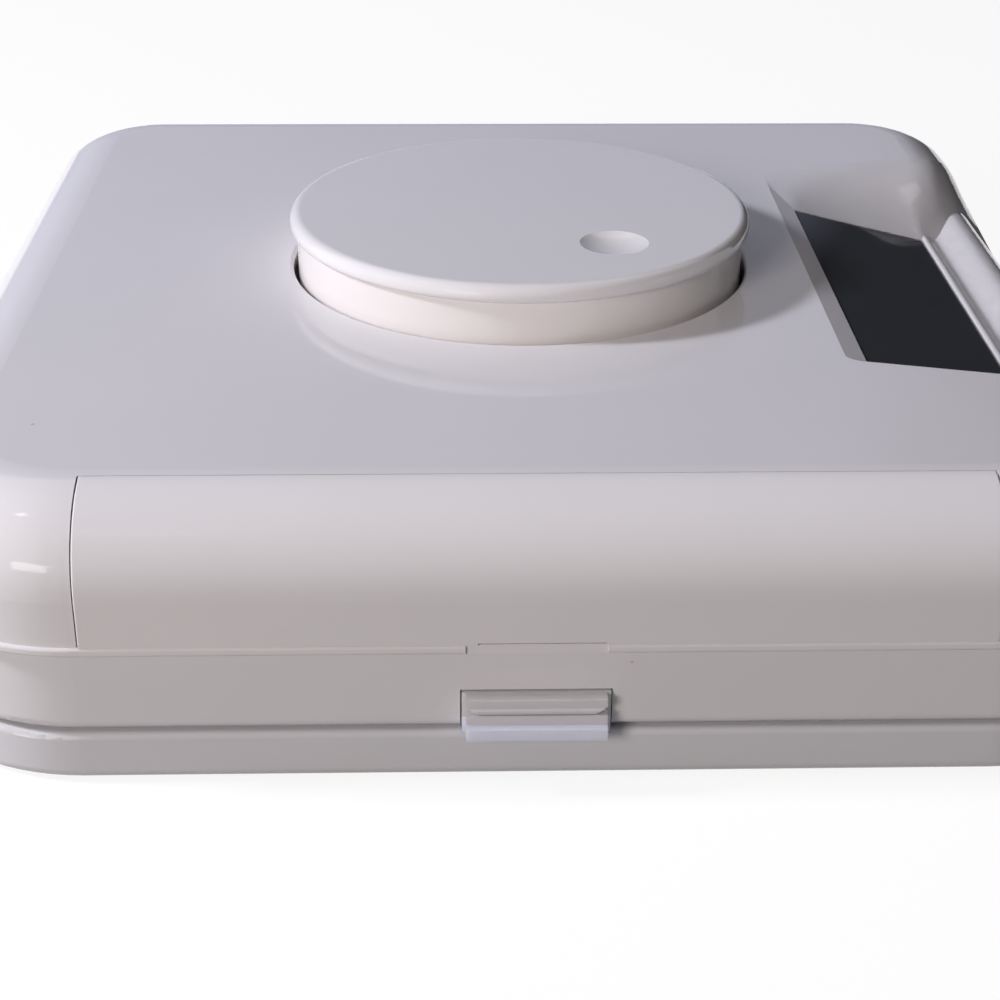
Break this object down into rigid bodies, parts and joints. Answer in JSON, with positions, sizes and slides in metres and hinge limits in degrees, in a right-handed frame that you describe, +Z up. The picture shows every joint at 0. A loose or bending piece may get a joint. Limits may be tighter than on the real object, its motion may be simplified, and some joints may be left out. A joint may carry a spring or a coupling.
{
  "type": "timed lock container",
  "caption": "Shallow square container whose deep lid has a push-and-turn dial, a sloping display and motor-driven bolts that hold it shut until a timer ends.",
  "frame": {"origin": "centre of the footprint, on the plane the feet stand on", "axes": "+Z up; -Y is the front with the plain fascia; +X is the side that the display slopes towards"},
  "size_m": [0.1788, 0.1836, 0.0501],
  "materials": {
    "white_shell": "moulded, glossy",
    "white_fascia": "moulded, glossy",
    "white_skirt": "moulded, satin gloss",
    "white_tray": "moulded, satin gloss",
    "white_knob": "moulded, glossy",
    "knob_wall": "moulded, glossy, slightly cream",
    "clear_catch": "clear polycarbonate",
    "dark_window": "dark tinted acrylic",
    "panel": "liquid-crystal panel in its carrier",
    "grey_inner": "moulded, fine texture",
    "acetal": "natural acetal",
    "acetal_dark": "black acetal",
    "steel": "zinc plated",
    "motor_can": "drawn steel can",
    "board": "green solder mask",
    "chips": "moulded epoxy",
    "cells": "plain wrapped cell",
    "nickel": "nickel plated strip",
    "rubber": "moulded rubber"
  },
  "bodies": {
    "base": {"base_tray": "white_tray", "rubber_feet": "rubber", "front_strike": "clear_catch", "rear_strike": "clear_catch", "strike_screws": "steel"},
    "lid": {"lid_top_shell": "white_shell", "front_fascia": "white_fascia", "lid_skirt": "white_skirt", "inner_cover": "grey_inner", "lid_screws": "steel", "lock_motor": "motor_can", "motor_bracket": "steel", "bracket_screws": "steel", "gear_arbors": "steel", "arbor_clips": "steel", "return_spring": "steel", "knob_well": "grey_inner", "well_screws": "steel", "encoder_board": "board", "light_gate": "chips", "press_switch": "nickel", "display_window": "dark_window", "display_module": "panel", "circuit_board": "board", "board_chips": "chips", "sounder": "chips", "board_screws": "steel", "battery_cells": "cells", "battery_contacts": "nickel"},
    "knob_plunger": {"knob_carrier": "acetal", "stem_clip": "steel", "knob_clip": "steel"},
    "knob": {"knob_cap": "white_knob", "knob_skirt": "knob_wall", "code_drum": "acetal_dark"},
    "lock_gear": {"lock_gear": "acetal"},
    "idler": {"idler_gear": "acetal"},
    "motor_rotor": {"motor_pinion": "acetal", "motor_shaft": "steel"},
    "front_bolt": {"front_bolt": "acetal_dark"},
    "rear_bolt": {"rear_bolt": "acetal_dark"},
    "battery_door": {"battery_door": "grey_inner", "door_screw": "steel"}
  },
  "joints": [
    {"name": "lid_lift", "type": "slide", "parent": "base", "child": "lid", "axis": [0, 0, 1], "range_m": [0, 0.06]},
    {"name": "knob_press", "type": "slide", "parent": "lid", "child": "knob_plunger", "axis": [0, 0, -1], "range_m": [0, 0.0012], "stiffness_N_per_m": 900, "springref_m": -0.002, "deforming": ["return_spring"]},
    {"name": "knob_turn", "type": "hinge", "parent": "knob_plunger", "child": "knob", "pos_m": [0, 0.002, 0.044], "axis": [0, 0, 1], "continuous": true},
    {"name": "lock_gear_turn", "type": "hinge", "parent": "lid", "child": "lock_gear", "pos_m": [0, -0.02, 0.0244], "axis": [0, 0, 1], "range_deg": [0, 37]},
    {"name": "idler_turn", "type": "hinge", "parent": "lid", "child": "idler", "pos_m": [0.01971, -0.02665, 0.023], "axis": [0, 0, 1], "range_deg": [-123, 0]},
    {"name": "motor_turn", "type": "hinge", "parent": "lid", "child": "motor_rotor", "pos_m": [0.024, -0.047, 0.022], "axis": [0, 0, 1], "range_deg": [0, 410]},
    {"name": "front_bolt_slide", "type": "slide", "parent": "lid", "child": "front_bolt", "axis": [0, -1, 0], "range_m": [0, 0.0045]},
    {"name": "rear_bolt_slide", "type": "slide", "parent": "lid", "child": "rear_bolt", "axis": [0, 1, 0], "range_m": [0, 0.0045]},
    {"name": "battery_door_out", "type": "slide", "parent": "lid", "child": "battery_door", "axis": [0, 0, -1], "range_m": [0, 0.014]}
  ],
  "couplings": [
    {"joint": "rear_bolt_slide", "follows": "front_bolt_slide", "ratio": 1},
    {"joint": "lock_gear_turn", "follows": "front_bolt_slide", "rad_per_m": 142.86},
    {"joint": "idler_turn", "follows": "front_bolt_slide", "rad_per_m": -476.19},
    {"joint": "motor_turn", "follows": "front_bolt_slide", "rad_per_m": 1587.3}
  ]
}
